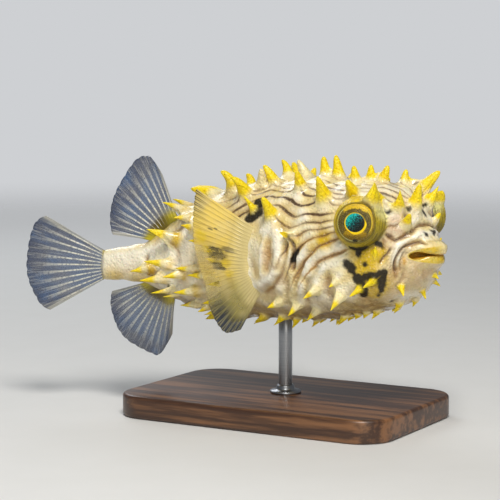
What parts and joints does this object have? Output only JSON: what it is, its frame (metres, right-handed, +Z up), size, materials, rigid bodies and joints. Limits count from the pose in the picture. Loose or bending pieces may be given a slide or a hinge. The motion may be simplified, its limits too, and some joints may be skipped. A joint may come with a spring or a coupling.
{
  "type": "spiny pufferfish model on a display stand",
  "caption": "Life-size still model of a striped burrfish, a small spiny pufferfish, held clear of a flat base by one short rod.",
  "frame": {"origin": "centre of the whole model's footprint, on the underside of the stand's base", "axes": "+X towards the nose, +Y to the fish's left, +Z up"},
  "size_m": [0.1558, 0.066, 0.0902],
  "materials": {
    "skin": "moist skin, cream with thin brown wavy stripes, lemon yellow spines, black blotches and a white belly",
    "eye": "wet and glossy, golden iris round a speckled turquoise pupil",
    "clear_fin": "thin translucent blue-grey membrane between pale rays",
    "yellow_fin": "thin translucent yellowish membrane between fine pale rays, with dark smudges",
    "stand_base": "dark oiled wood, satin",
    "stand_rod": "brushed, satin"
  },
  "bodies": {
    "root": {"snout": "skin", "head": "skin", "trunk": "skin", "tail_stem": "skin", "eye_left": "eye", "eye_right": "eye", "caudal_fin": "clear_fin", "dorsal_fin": "clear_fin", "anal_fin": "clear_fin", "pectoral_fin_right": "yellow_fin", "pectoral_fin_left": "yellow_fin", "stand_base": "stand_base", "stand_rod": "stand_rod"}
  },
  "joints": []
}
